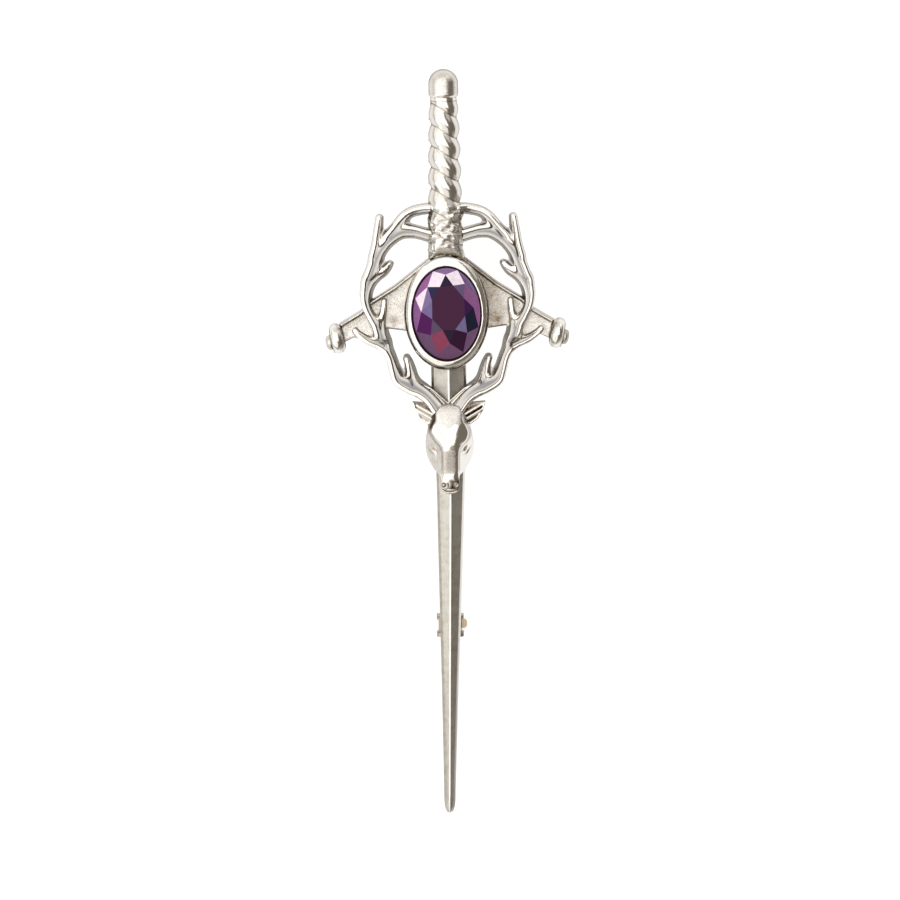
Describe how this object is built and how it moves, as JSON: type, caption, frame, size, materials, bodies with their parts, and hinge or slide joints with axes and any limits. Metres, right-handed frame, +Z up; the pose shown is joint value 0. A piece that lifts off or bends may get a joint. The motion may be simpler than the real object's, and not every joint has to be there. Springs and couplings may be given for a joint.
{
  "type": "kilt pin",
  "caption": "Cast sword-shaped kilt pin with a stag's head, antlers round an oval faceted stone, and a hinged stem with a revolving safety catch.",
  "frame": {"origin": "middle of the outline, on the surface on which the pin lies on its back", "axes": "+X across the guard, +Y along the sword towards the pommel, +Z up out of the pin's face"},
  "size_m": [0.0334, 0.102, 0.012],
  "materials": {
    "cast_silver": "polished high spots, satin blade flats, sandblasted grounds",
    "purple_stone": "faceted, polished, foiled back",
    "steel": "drawn and polished",
    "catch_metal": "plated, ribbed"
  },
  "bodies": {
    "pin": {"casting": "cast_silver", "stone": "purple_stone", "hinge_rivet": "steel"},
    "stem": {"pin_stem": "steel"},
    "catch": {"catch_sleeve": "catch_metal"}
  },
  "joints": [
    {"name": "pin_hinge", "type": "hinge", "parent": "pin", "child": "stem", "pos_m": [0, 0.0283, 0.002], "axis": [1, 0, 0], "range_deg": [0, 110]},
    {"name": "catch_turn", "type": "hinge", "parent": "pin", "child": "catch", "pos_m": [0, -0.0257, 0.002], "axis": [0, 1, 0], "range_deg": [0, 80]}
  ]
}
